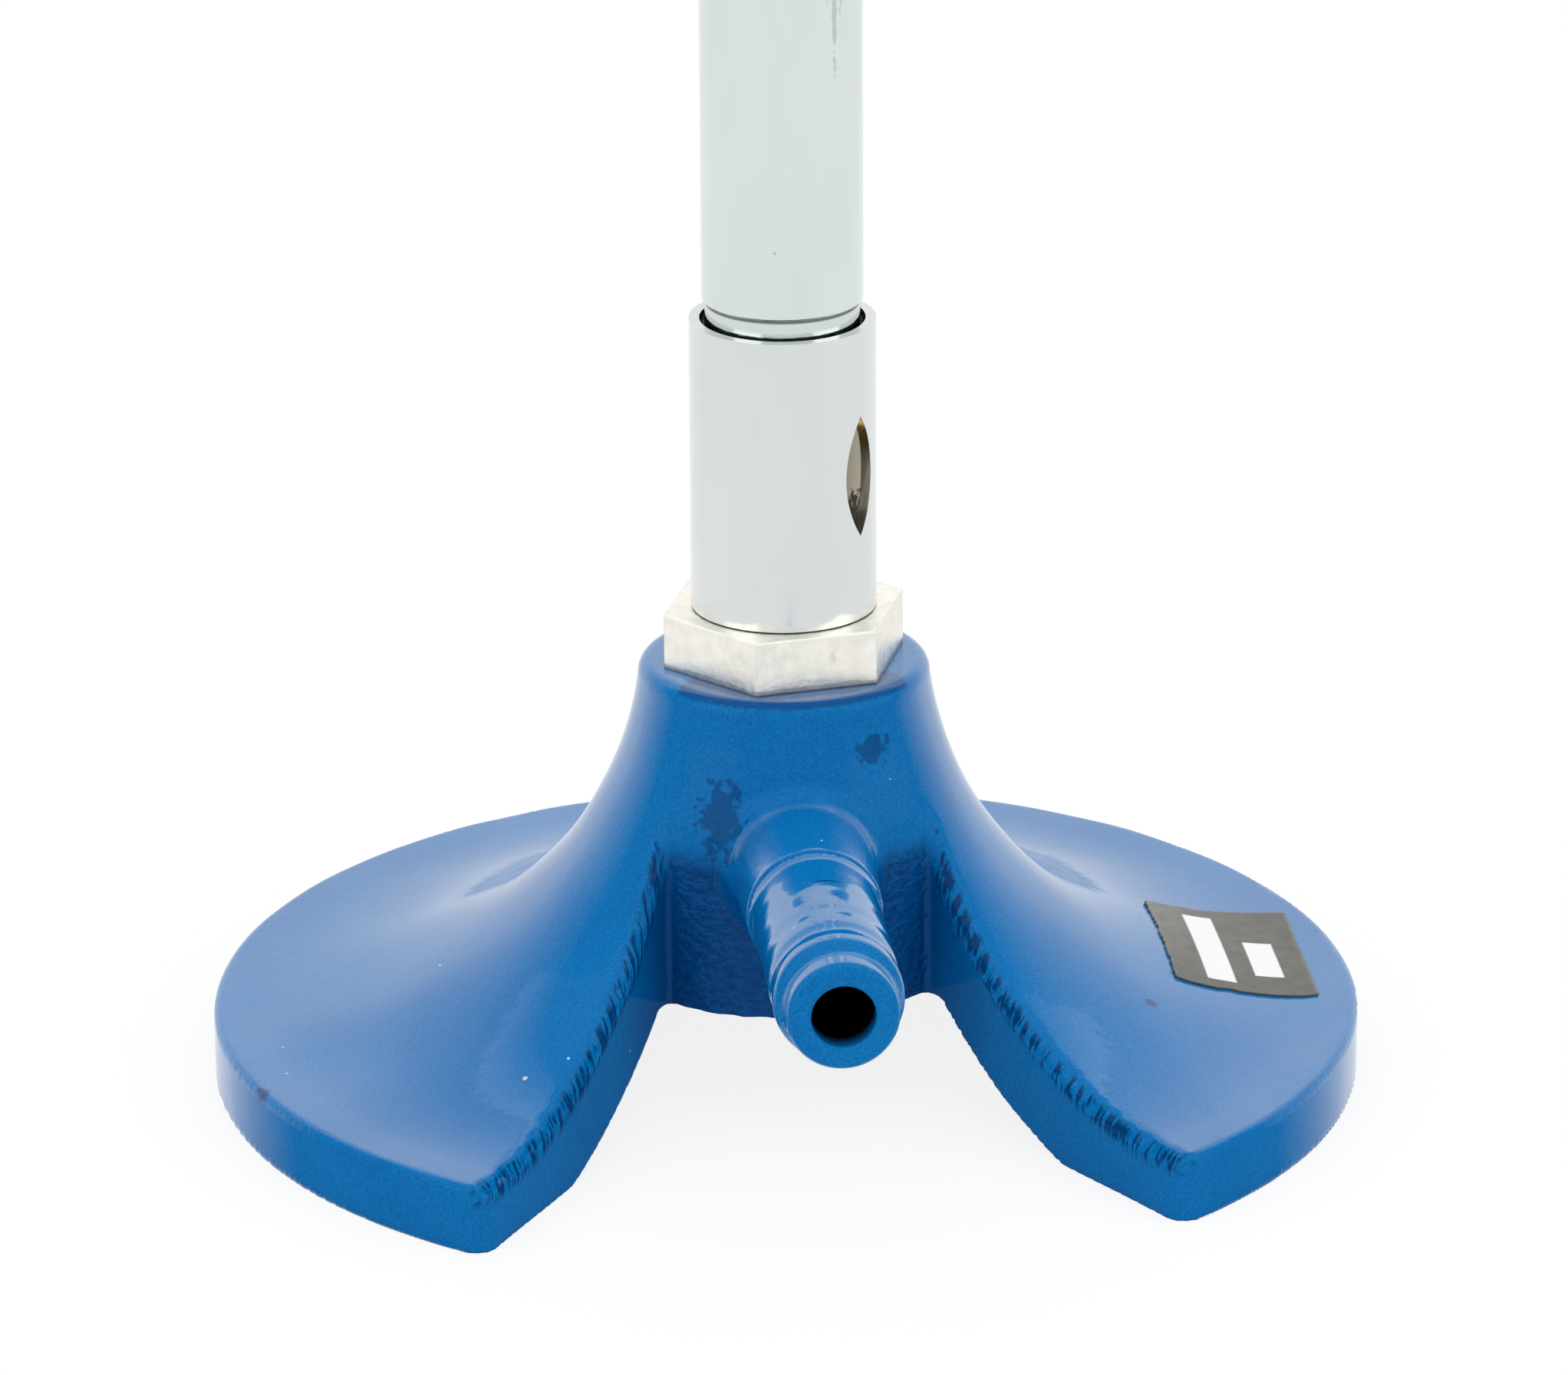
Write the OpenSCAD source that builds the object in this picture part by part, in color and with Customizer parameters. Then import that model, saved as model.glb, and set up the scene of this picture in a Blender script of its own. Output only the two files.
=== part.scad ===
// Laboratory gas burner: cast base with a forked front, hose nozzle, hex body, gas jet,
// mixer body with a turning air sleeve, and a plain barrel.
// Millimetres. +Z is up along the barrel, the bench is z = 0, and the nozzle points along -Y.

/* [Base casting] */
// Diameter of the round foot
base_d = 92.2; // [84.2:1:104.2]
// Thickness of the foot at its rim
rim_h = 5.6; // [4.6:0.2:7]
// Height of the casting, bench to the top of its collar
base_h = 34.4; // [32:0.2:37]
// Diameter of the collar at the top of the casting
collar_d = 23; // [22:0.2:25]
// Radius of the concave flare between collar and rim
flare_r = 31.5; // [31:0.5:36]
// Rounding of the collar's top edge
collar_round = 1; // [0.4:0.1:1.4]
// Rounding of the rim's top edge
rim_round = 0.5; // [0.3:0.1:1.2]

/* [Front notch and underside] */
// Angle between the two walls of the front notch
notch_angle = 62; // [50:1:74]
// Distance of each notch wall from the barrel's axis
notch_offset = 4; // [3.5:0.25:6]
// Radius that rounds the two lobe tips, seen from above
tip_round = 2; // [1:0.5:4]
// Diameter of the round boss that stands at the back of the notch
boss_d = 28.6; // [27:0.2:31]
// Height of the boss's underside above the bench
boss_rise = 9; // [7:0.5:11]
// Thickness of the shell between the flare and the hollow under it
shell_t = 7.4; // [7:0.2:9]

/* [Gas inlet] */
// Height of the nozzle's axis above the bench
inlet_z = 21.5; // [20.5:0.5:23]
// Distance from the barrel's axis to the end of the cast inlet boss
inlet_reach = 23.5; // [21:0.5:26]
// Diameter of the inlet boss where it leaves the hub
inlet_root_d = 12.2; // [11:0.2:13]
// Diameter of the inlet boss at its end
inlet_end_d = 10.6; // [10.4:0.1:11]
// Bore of the cast gas way, from the nozzle's socket to the well
gas_way_d = 5.4; // [4.4:0.2:6]
// Diameter of the gas well below the hex body
well_d = 8.6; // [8:0.2:9.6]
// Depth of the gas well below the nozzle's axis
well_drop = 4; // [3:0.5:5]

/* [Hose nozzle] */
// Length of the nozzle outside the casting
nozzle_l = 20.8; // [17:0.2:24]
// Diameter of the ridges that grip the hose
crest_d = 10.2; // [9.8:0.1:10.4]
// Diameter at the bottom of the grooves
groove_d = 9.3; // [9:0.1:9.5]
// Number of ridges
ridges = 5; // [3:1:6]
// Width of the cylindrical land on each ridge
land_w = 0.8; // [0.5:0.1:1.2]
// Length of the plain nose in front of the last ridge
nose_l = 2.8; // [2:0.2:4]
// Diameter of the nose
nose_d = 9; // [8.6:0.1:9.4]
// Diameter of the flat end face
end_face_d = 7.9; // [7:0.1:8.4]
// Bore of the nozzle
nozzle_bore_d = 4.9; // [4:0.1:5.4]
// Diameter of the nozzle's threaded stem
nozzle_stem_d = 7.8; // [7.2:0.2:8.4]
// Length of the nozzle's threaded stem
nozzle_stem_l = 8; // [6:0.5:9]

/* [Hex body] */
// Width across the flats of the hexagon
hex_af = 17.2; // [16.4:0.2:18]
// Height of the hexagon
hex_h = 4.4; // [3.6:0.2:6]
// Turn of the hexagon about the barrel's axis
hex_turn = 11.5; // [0:0.5:60]
// Diameter of the threaded stem below the hexagon
stem_d = 12; // [11:0.2:13]
// Length of the threaded stem below the hexagon
stem_l = 8.6; // [7:0.2:9.4]
// Diameter of the threaded spigot above the hexagon
spigot_d = 10.6; // [10.4:0.1:10.9]
// Length of the threaded spigot above the hexagon
spigot_l = 5; // [4:0.2:6]
// Bore of the gas way through the hex body
body_bore_d = 4; // [3:0.1:4.6]

/* [Gas jet] */
// Diameter of the jet's threaded shank
shank_d = 6; // [5.4:0.1:6.6]
// Length of the jet's threaded shank
shank_l = 4; // [3:0.2:5]
// Width across the flats of the jet's head
jet_af = 7.6; // [7:0.2:8.4]
// Height of the jet's head
jet_head_h = 2; // [1.6:0.2:3]
// Height of the cone above the jet's head
jet_cone_h = 2.6; // [2:0.2:3.6]
// Diameter of the jet's flat tip
jet_tip_d = 3; // [2.4:0.2:4]
// Diameter of the orifice that meters the gas
orifice_d = 1; // [0.6:0.1:1.6]
// Length of the orifice
orifice_l = 1.2; // [0.8:0.1:1.6]
// Bore inside the jet, below the orifice
jet_bore_d = 2.6; // [2:0.1:3]

/* [Air sleeve] */
// Outer diameter of the air sleeve
sleeve_d = 14.7; // [14.6:0.1:16]
// Wall of the air sleeve
sleeve_wall = 0.82; // [0.76:0.02:0.9]
// Length of the air sleeve
sleeve_l = 23.7; // [20:0.1:26]
// Height of the pointed air ports
port_h = 9.9; // [8:0.1:12]
// Width of the pointed air ports
port_w = 3.4; // [2.4:0.1:4.4]
// Direction of the first air port, anticlockwise from +X
port_turn = -40; // [-60:1:-20]

/* [Mixer body] */
// Bore of the mixing chamber
chamber_d = 9.8; // [9.2:0.1:10.2]
// Diameter of the neck that shows between sleeve and barrel
neck_d = 12.2; // [12:0.1:12.4]
// Height of neck that shows between sleeve and barrel
neck_gap = 1.5; // [1:0.1:3]
// Depth to which the neck runs down inside the sleeve
neck_depth = 3; // [2:0.5:4]
// Length of the spigot that the barrel is pressed on
barrel_spigot_l = 8; // [6:0.5:12]

/* [Barrel] */
// Outer diameter of the barrel
barrel_d = 12.7; // [12.6:0.1:13]
// Wall of the barrel
barrel_wall = 0.8; // [0.6:0.05:0.85]
// Height of the barrel's mouth above the bench
mouth_z = 152.4; // [130:0.2:180]
// Chamfer on the edges of the barrel's ends
barrel_chamfer = 0.2; // [0.1:0.05:0.3]

/* [Blank label] */
// Length of the label along Y
label_l = 18; // [12:0.5:20]
// Width of the label along X
label_w = 11.8; // [9:0.2:13]
// Distance from the foot's rim to the label's middle
label_inset = 9.4; // [8:0.2:12]
// Shift of the label's middle towards the back
label_y = 2.7; // [-3:0.1:5]
// Thickness of the label
label_t = 0.2; // [0.15:0.05:0.4]

/* [Fits] */
// Radial clearance between the air sleeve and the mixer body
sleeve_clear = 0.075; // [0.03:0.005:0.095]
// Gap between the hexagon and the bottom of the air sleeve
sleeve_lift = 0.1; // [0.05:0.05:0.3]
// Radial clearance between a threaded stem and its bore
thread_clear = 0.05; // [0.02:0.01:0.1]
// Radial clearance between the mixer body's spigot and the barrel
press_clear = 0.02; // [0.01:0.01:0.04]
// Pitch of every thread
thread_pitch = 1; // [0.8:0.1:1.5]
// Depth of every thread
thread_depth = 0.45; // [0.3:0.05:0.6]
// Film of glue under the label
glue_t = 0.02; // [0.01:0.01:0.05]

/* [Hidden] */

$fn = 96;
eps = 0.01;
arc_steps = 32; // straight steps that follow the flare
hollow_steps = 16; // straight steps that follow the hollow under it
round_steps = 6; // straight steps that follow a small rounding
tip_sweep = 0.9; // share of a lobe tip's rounding at which the notch leaves the rim
ridge_crest = 0.7; // share of a ridge's pitch at which its land stands
ridge_foot = 0.95; // share of a ridge's pitch at which its short slope ends

base_r = base_d / 2;
collar_r = collar_d / 2;
boss_r = boss_d / 2;
label_x = base_r - label_inset;

// Centre of the flare's circle, in radius and height
flare_z = rim_h + flare_r;
flare_x = collar_r + sqrt(flare_r ^ 2 - (flare_z - base_h) ^ 2);
flare_start = asin((flare_z - base_h) / flare_r);
edge_x = base_r - rim_round;
flare_end = flare_x > edge_x ? acos((flare_x - edge_x) / flare_r) : 90;

// The hollow under the casting follows the flare's circle at the shell's thickness
hollow_arc_r = flare_r + shell_t;
hollow_start = asin((flare_z - boss_rise) / hollow_arc_r);
hollow_end = asin(flare_z / hollow_arc_r);

hex_z = base_h;
spigot_z = hex_z + hex_h;
jet_z = spigot_z + spigot_l;
sleeve_z = spigot_z + sleeve_lift;
sleeve_top = sleeve_z + sleeve_l;
barrel_z = sleeve_top + neck_gap;
port_z = sleeve_z + sleeve_l / 2;

sleeve_bore_d = sleeve_d - 2 * sleeve_wall;
guide_d = sleeve_bore_d - 2 * sleeve_clear;
barrel_bore_d = barrel_d - 2 * barrel_wall;
barrel_spigot_d = barrel_bore_d - 2 * press_clear;
port_r = (port_h ^ 2 + port_w ^ 2) / (4 * port_w);

stem_bore_d = stem_d + 2 * thread_clear;
stem_bore_l = stem_l + 2 * thread_pitch;
nozzle_socket_d = nozzle_stem_d + 2 * thread_clear;
nozzle_socket_l = nozzle_stem_l + thread_pitch;
shank_bore_d = shank_d + 2 * thread_clear;
shank_bore_l = shank_l + thread_pitch / 2;
spigot_bore_d = spigot_d + 2 * thread_clear;
well_z = inlet_z - well_drop;

// Points on an arc about c from angle a to angle b
function arc(c, r, a, b, steps) =
    [for (i = [0:steps]) let (t = a + (b - a) * i / steps) c + r * [cos(t), sin(t)]];

// The flare from the collar down to the rim, as radius and height
function flare_points() =
    [for (i = [0:arc_steps])
        let (t = flare_start + (flare_end - flare_start) * i / arc_steps)
        [flare_x - flare_r * cos(t), flare_z - flare_r * sin(t)]];

// The hollow from the boss's underside down to the bench, as radius and height
function hollow_points() =
    [for (i = [0:hollow_steps])
        let (t = hollow_start + (hollow_end - hollow_start) * i / hollow_steps)
        [flare_x - hollow_arc_r * cos(t), flare_z - hollow_arc_r * sin(t)]];

// Stepped outline of a threaded shank of length l that starts at z = 0
function thread_outline(d, l) =
    let (turns = floor(l / thread_pitch), p = l / turns, core = d / 2 - thread_depth)
    concat(
        [[0, 0], [core, 0]],
        [for (i = [0:turns - 1], s = [0.25, 0.5, 0.75, 1])
            [s == 0.5 || s == 0.75 ? d / 2 : core, (i + s) * p]],
        [[0, l]]);

module thread_rod(d, l) {
    rotate_extrude() polygon(thread_outline(d, l));
}

// A cylinder or cone that points along -Y from distance y0 to y1
module forward(y0, y1, d0, d1) {
    rotate([90, 0, 0]) translate([0, 0, y0]) cylinder(h = y1 - y0, d1 = d0, d2 = d1);
}

// Turned body of the casting, without its notch, bores and inlet boss
module bell() {
    flare = flare_points();
    edge_z = flare[arc_steps][1];
    rotate_extrude() polygon(concat(
        [[0, boss_rise]],
        hollow_points(),
        [[base_r, 0], [base_r, edge_z - rim_round]],
        flare_x < edge_x ? [[edge_x, edge_z]] : [],
        [for (i = [arc_steps:-1:1]) flare[i]],
        arc([collar_r - collar_round, base_h - collar_round], collar_round, 0, 90, round_steps),
        [[0, base_h]]));
}

// One side of the notch's plan: a straight wall that turns out round the lobe's tip
function notch_side() =
    let (
        h = notch_angle / 2,
        along = [sin(h), -cos(h)],
        away = [cos(h), sin(h)],
        reach = sqrt((base_r - tip_round) ^ 2 - (notch_offset + tip_round) ^ 2),
        c = (notch_offset + tip_round) * away + reach * along,
        start = 180 + h,
        sweep = 360 + atan2(c[1], c[0]) - start,
        last = start + sweep * tip_sweep,
        end = c + tip_round * [cos(last), sin(last)] + tip_round * [-sin(last), cos(last)])
    concat(arc(c, tip_round, start, last, round_steps), [end, end * 2, [0, -base_d]]);

module notch_plan() {
    side = notch_side();
    polygon(concat(
        [[0, notch_offset / sin(notch_angle / 2)]],
        side,
        [for (i = [len(side) - 2:-1:0]) [-side[i][0], side[i][1]]]));
}

// Everything the notch takes away: its prism, less the round boss at its back
module notch() {
    difference() {
        translate([0, 0, -eps]) linear_extrude(base_h) notch_plan();
        translate([0, 0, -2 * eps]) cylinder(h = base_h + 3 * eps, r = boss_r);
    }
}

module base_casting() {
    color("royalblue") difference() {
        union() {
            difference() {
                bell();
                notch();
            }
            translate([0, 0, inlet_z]) forward(0, inlet_reach, inlet_root_d, inlet_end_d);
        }
        translate([0, 0, base_h - stem_bore_l]) cylinder(h = stem_bore_l + eps, d = stem_bore_d);
        translate([0, 0, well_z]) cylinder(h = base_h - well_z, d = well_d);
        translate([0, 0, inlet_z]) {
            forward(0, inlet_reach, gas_way_d, gas_way_d);
            forward(inlet_reach - nozzle_socket_l, inlet_reach + eps, nozzle_socket_d, nozzle_socket_d);
        }
    }
}

// Outline of the ridged nozzle, as radius and distance from the casting
function ridge_outline() =
    let (p = (nozzle_l - nose_l) / ridges, crest = crest_d / 2, groove = groove_d / 2)
    [for (i = [0:ridges - 1], s = [0, 1, 2, 3])
        s == 0 ? [groove, i * p]
        : s == 1 ? [crest, (i + ridge_crest) * p - land_w / 2]
        : s == 2 ? [crest, (i + ridge_crest) * p + land_w / 2]
        : [groove, (i + ridge_foot) * p]];

module hose_nozzle() {
    end_z = nozzle_l - (nose_d - end_face_d) / 2;
    color("royalblue") translate([0, -inlet_reach, inlet_z]) rotate([90, 0, 0]) difference() {
        union() {
            rotate_extrude() polygon(concat(
                [[0, 0]],
                ridge_outline(),
                [[nose_d / 2, nozzle_l - nose_l], [nose_d / 2, end_z]],
                [[end_face_d / 2, nozzle_l], [0, nozzle_l]]));
            mirror([0, 0, 1]) thread_rod(nozzle_stem_d, nozzle_stem_l);
        }
        translate([0, 0, -nozzle_stem_l - eps])
            cylinder(h = nozzle_l + nozzle_stem_l + 2 * eps, d = nozzle_bore_d);
    }
}

module hex_body() {
    color("lightgray") difference() {
        union() {
            translate([0, 0, hex_z]) rotate([0, 0, hex_turn])
                cylinder(h = hex_h, d = hex_af / cos(30), $fn = 6);
            translate([0, 0, hex_z]) mirror([0, 0, 1]) thread_rod(stem_d, stem_l);
            translate([0, 0, spigot_z]) thread_rod(spigot_d, spigot_l);
        }
        translate([0, 0, hex_z - stem_l - eps])
            cylinder(h = stem_l + hex_h + spigot_l + 2 * eps, d = body_bore_d);
        translate([0, 0, jet_z - shank_bore_l])
            cylinder(h = shank_bore_l + eps, d = shank_bore_d);
    }
}

module gas_jet() {
    jet_h = jet_head_h + jet_cone_h;
    color("goldenrod") translate([0, 0, jet_z]) difference() {
        union() {
            mirror([0, 0, 1]) thread_rod(shank_d, shank_l);
            cylinder(h = jet_head_h, d = jet_af / cos(30), $fn = 6);
            translate([0, 0, jet_head_h]) cylinder(h = jet_cone_h, d1 = jet_af, d2 = jet_tip_d);
        }
        translate([0, 0, -shank_l - eps])
            cylinder(h = shank_l + jet_h - orifice_l + eps, d = jet_bore_d);
        cylinder(h = jet_h + eps, d = orifice_d);
    }
}

// Two pointed ports, opposite each other, that reach out to distance r from the axis
module ports(r) {
    shift = port_r - port_w / 2;
    for (turn = [0, 180]) translate([0, 0, port_z]) rotate([0, 0, port_turn + turn])
        rotate([90, 0, 90]) intersection() {
            translate([shift, 0, 0]) cylinder(h = r, r = port_r);
            translate([-shift, 0, 0]) cylinder(h = r, r = port_r);
        }
}

module mixer_body() {
    color("gainsboro") difference() {
        rotate_extrude() polygon([
            [0, spigot_z], [guide_d / 2, spigot_z], [guide_d / 2, sleeve_top - neck_depth],
            [neck_d / 2, sleeve_top - neck_depth], [neck_d / 2, barrel_z],
            [barrel_spigot_d / 2, barrel_z], [barrel_spigot_d / 2, barrel_z + barrel_spigot_l],
            [0, barrel_z + barrel_spigot_l]]);
        translate([0, 0, spigot_z - eps]) cylinder(h = spigot_l + thread_pitch + eps, d = spigot_bore_d);
        translate([0, 0, spigot_z])
            cylinder(h = barrel_z + barrel_spigot_l - spigot_z + eps, d = chamber_d);
        ports(sleeve_d);
    }
}

module air_sleeve() {
    color("silver") difference() {
        translate([0, 0, sleeve_z]) cylinder(h = sleeve_l, d = sleeve_d);
        translate([0, 0, sleeve_z - eps]) cylinder(h = sleeve_l + 2 * eps, d = sleeve_bore_d);
        ports(sleeve_d);
    }
}

module barrel_tube() {
    outer = barrel_d / 2;
    inner = barrel_bore_d / 2;
    color("silver") rotate_extrude() polygon([
        [inner, barrel_z], [outer - barrel_chamfer, barrel_z], [outer, barrel_z + barrel_chamfer],
        [outer, mouth_z - barrel_chamfer], [outer - barrel_chamfer, mouth_z], [inner, mouth_z]]);
}

module blank_label() {
    color("dimgray") intersection() {
        translate([label_x - label_w / 2, label_y - label_l / 2, 0]) cube([label_w, label_l, base_h]);
        difference() {
            translate([0, 0, glue_t + label_t]) bell();
            translate([0, 0, glue_t]) bell();
        }
    }
}

base_casting();
hose_nozzle();
hex_body();
gas_jet();
mixer_body();
air_sleeve();
barrel_tube();
blank_label();
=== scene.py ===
"""Bunsen burner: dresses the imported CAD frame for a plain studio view.

The shapes and marks are in millimetres, as the CAD model's sizes are, and MM brings them to
metres. Lights, camera, texture scales and bump depths are in metres.
"""
import math

import bpy
import numpy as np
from mathutils import Matrix, Vector


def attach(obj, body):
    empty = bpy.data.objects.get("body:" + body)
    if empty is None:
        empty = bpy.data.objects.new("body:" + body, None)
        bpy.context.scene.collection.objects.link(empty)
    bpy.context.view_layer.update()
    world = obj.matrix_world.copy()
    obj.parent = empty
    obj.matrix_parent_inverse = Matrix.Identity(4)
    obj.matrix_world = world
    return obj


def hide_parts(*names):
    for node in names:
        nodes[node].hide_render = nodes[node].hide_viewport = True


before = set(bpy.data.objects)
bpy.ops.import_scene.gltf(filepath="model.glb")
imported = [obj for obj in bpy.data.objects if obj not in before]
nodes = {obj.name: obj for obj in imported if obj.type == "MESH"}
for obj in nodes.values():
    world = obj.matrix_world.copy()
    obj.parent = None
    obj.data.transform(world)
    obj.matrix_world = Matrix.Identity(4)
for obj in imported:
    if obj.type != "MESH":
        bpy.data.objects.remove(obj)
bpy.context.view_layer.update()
scene = bpy.context.scene

MM = 0.001
BURNER = "burner"

# The casting's shape, as the CAD model has it
BASE_R = 46.1
BASE_H = 34.4
RIM_H = 5.6
COLLAR_R = 11.5
FLARE_R = 31.5
SHELL_T = 7.4
FLARE_Z = RIM_H + FLARE_R
FLARE_X = COLLAR_R + math.sqrt(FLARE_R**2 - (FLARE_Z - BASE_H) ** 2)
NOTCH_HALF = math.radians(31)
NOTCH_OFF = 4.0
TIP_R = 2.0
BOSS_R = 14.3
BOSS_RISE = 9.0
INLET_Z = 21.5
INLET_REACH = 23.5
INLET_ROOT_R = 6.1
INLET_END_R = 5.3
STEM_BORE_R = 6.05
STEM_BORE_L = 10.6
WELL_R = 4.3
WELL_Z = 17.5
GAS_WAY_R = 2.7
SOCKET_R = 3.95
SOCKET_L = 9.0

# What the painted casting adds to that
CAST_STEP = 0.36  # cell of its mesh
NOTCH_PROUD = 0.3  # how far its notch walls stand in front of the CAD ones
LOBE_EDGE_R = 0.6
BOSS_EDGE_R = 0.8
BOSS_FILLET = 0.8
HUB_TOP_R = 1.0
HOLLOW_EDGE_R = 0.25
LOWER_EDGE_R = 0.22
INLET_EDGE_R = 0.15
INLET_FILLET = 1.3
BREAK_DEPTH = 1.05  # the broken edge along the notch, and how ragged it is
BREAK_RAGGED = 0.16
BREAK_EDGE_R = 0.3
CAST_WAVES = 0.04  # height of the slow waves in the skin
WRINKLES = 0.06  # height of the wrinkles inside the notch

# The hose nozzle, as the CAD model has it
NOZZLE_L = 20.8
CREST_R = 5.1
GROOVE_R = 4.65
RIDGES = 5
NOSE_L = 2.8
NOSE_R = 4.5
BORE_R = 2.45
NOZZLE_STEM_R = 3.9
NOZZLE_STEM_L = 8.0

# What the painted nozzle adds to that
NOZZLE_STEP = 0.2  # cell of its mesh
AROUND_NOZZLE = 6  # half width of the box that its mesh is looked for in
CREST_INSET = 0.08
NOSE_INSET = 0.18
NOSE_EDGE_R = 0.55
MOUTH_EDGE_R = 0.25
ROOT_FILLET = 0.2  # paint that bridges the step from the casting to the nozzle
ROOT_FILLET_L = 1.4

# The label
LABEL_X = BASE_R - 9.4
LABEL_Y = 2.7
LABEL_W = 11.8
LABEL_L = 18.0
LABEL_T = 0.2
GLUE_T = 0.02

SKIN = 0.02  # how far the waves of a painted skin stay inside the CAD size
NECK_Z = (58.5, 59.5)  # between these heights the bare chamber turns into the plated neck
# Painted shadow on the neck under the barrel's lower edge:
SHADOW_LINE_Z = (63.80, 63.95)  # the dark line under the barrel


# ---------------------------------------------------------------- shapes as distance fields
def round_max(a, b, r):
    """Intersection of two solids given as distances, with its edge rounded to radius r."""
    return np.minimum(np.maximum(a, b), -r) + np.hypot(np.maximum(a + r, 0), np.maximum(b + r, 0))


def round_min(a, b, r):
    """Union of two solids, with a fillet of radius r."""
    return -round_max(-a, -b, r)


def waves(x, y, z, size, seed, count=7):
    """Smooth seeded noise of about -1 to 1 whose bumps are about size across."""
    rng = np.random.default_rng(seed)
    total = 0
    for _ in range(count):
        d = rng.normal(size=3)
        d *= rng.uniform(0.7, 1.4) * 2 * math.pi / size / np.linalg.norm(d)
        total = total + np.sin(d[0] * x + d[1] * y + d[2] * z + rng.uniform(0, 2 * math.pi))
    return total / count * 1.6


def flare_height(r):
    """Height of the casting's top skin at radius r, outside the collar."""
    inner = FLARE_Z - np.sqrt(np.maximum(FLARE_R**2 - (r - FLARE_X) ** 2, 0))
    return np.where(r < FLARE_X, inner, RIM_H)


def notch_wall(x, y):
    """Distance from the nearer notch wall, positive inside the notch."""
    return NOTCH_OFF - NOTCH_PROUD - (math.cos(NOTCH_HALF) * np.abs(x) + math.sin(NOTCH_HALF) * y)


def casting(x, y, z):
    """The painted foot, with its ways and well cut out."""
    r = np.hypot(x, y)
    from_centre = np.hypot(r - FLARE_X, z - FLARE_Z)
    top = np.where(r < FLARE_X, FLARE_R - from_centre, z - RIM_H)
    wall = notch_wall(x, y)
    lobes = round_max(round_max(r - BASE_R, wall, TIP_R), top, LOBE_EDGE_R)
    ragged = BREAK_DEPTH + BREAK_RAGGED * waves(x, y, z, 2.4, 5)
    lobes = round_max(lobes, (wall + top + ragged) / math.sqrt(2), BREAK_EDGE_R)
    hub = round_max(r - BOSS_R, top, BOSS_EDGE_R)
    body = np.maximum(round_min(lobes, hub, BOSS_FILLET), top)
    body = round_max(body, z - BASE_H, HUB_TOP_R)
    hollow = np.maximum(FLARE_R + SHELL_T - from_centre, z - BOSS_RISE)
    body = round_max(body, -hollow, HOLLOW_EDGE_R)
    body = round_max(body, -z, LOWER_EDGE_R)
    out = -y
    rho = np.hypot(x, z - INLET_Z)
    cone = rho - (INLET_ROOT_R + (INLET_END_R - INLET_ROOT_R) * out / INLET_REACH)
    inlet = np.maximum(round_max(cone, out - INLET_REACH, INLET_EDGE_R), -out)
    body = round_min(body, inlet, INLET_FILLET)
    body = body + CAST_WAVES * waves(x, y, z, 9, 2)
    in_notch = np.clip(wall / 1.5, 0, 1) * np.clip((r - BOSS_R + 2.5) / 2, 0, 1)
    in_notch = in_notch * np.clip((out - 6) / 3, 0, 1)
    off_inlet = np.clip((rho - INLET_ROOT_R - 0.7) / 1.2, 0, 1)
    in_notch = in_notch * (off_inlet * np.clip((BOSS_R + 1.0 - r) / 0.8, 0, 1))
    body = body + WRINKLES * in_notch * waves(x, y, 1.8 * z, 1.7, 13)
    for bore in (
        np.maximum(r - STEM_BORE_R, BASE_H - STEM_BORE_L - z),
        np.maximum(r - WELL_R, WELL_Z - z),
        np.maximum(rho - GAS_WAY_R, -out),
        np.maximum(rho - SOCKET_R, INLET_REACH - SOCKET_L - out),
    ):
        body = np.maximum(body, -bore)
    return np.maximum(np.maximum(body, r - BASE_R + SKIN), np.maximum(SKIN - z, z - BASE_H + SKIN))


def nozzle_radius(s):
    """Radius of the painted nozzle at distance s from the casting.

    The ridges grow towards a plain nose, because paint has filled the first ones.
    """
    pitch = (NOZZLE_L - NOSE_L) / RIDGES
    turn = np.clip(s / pitch, 0, RIDGES - 1e-6)
    t = turn % 1
    rise = np.clip((t - 0.12) / 0.42, 0, 1)
    fall = np.clip((1.0 - t) / 0.16, 0, 1)
    lift = np.minimum(rise, fall)
    lift = lift * lift * (3 - 2 * lift)
    depth = (CREST_R - GROOVE_R) * (0.02 + 0.98 * np.clip(turn / RIDGES, 0, 1) ** 6)
    crest = CREST_R - CREST_INSET
    return np.where(s < NOZZLE_L - NOSE_L, crest - depth * (1 - lift), NOSE_R - NOSE_INSET)


def nozzle(x, y, z):
    """The painted nozzle with its bore, and its stem inside the casting."""
    s = -y - INLET_REACH
    rho = np.hypot(x, z - INLET_Z)
    spread = [nozzle_radius(s + d) for d in (-0.3, -0.15, 0, 0.15, 0.3)]
    skin = sum(spread) / len(spread) + ROOT_FILLET * np.clip(1 - s / ROOT_FILLET_L, 0, 1) ** 2
    body = round_max(rho - skin, s - NOZZLE_L, NOSE_EDGE_R)
    body = np.maximum(body, -s)
    stem = np.maximum(np.maximum(rho - NOZZLE_STEM_R, s - 0.2), -s - NOZZLE_STEM_L)
    body = np.minimum(body, stem)
    lumps = 0.007 * waves(x, y, z, 4.0, 8) + 0.0015 * waves(x, y, z, 1.5, 9)
    body = body + np.where(s > 0.4, lumps, 0)
    body = round_max(body, BORE_R - rho, MOUTH_EDGE_R)
    return np.maximum(body, s - NOZZLE_L + SKIN)


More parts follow.
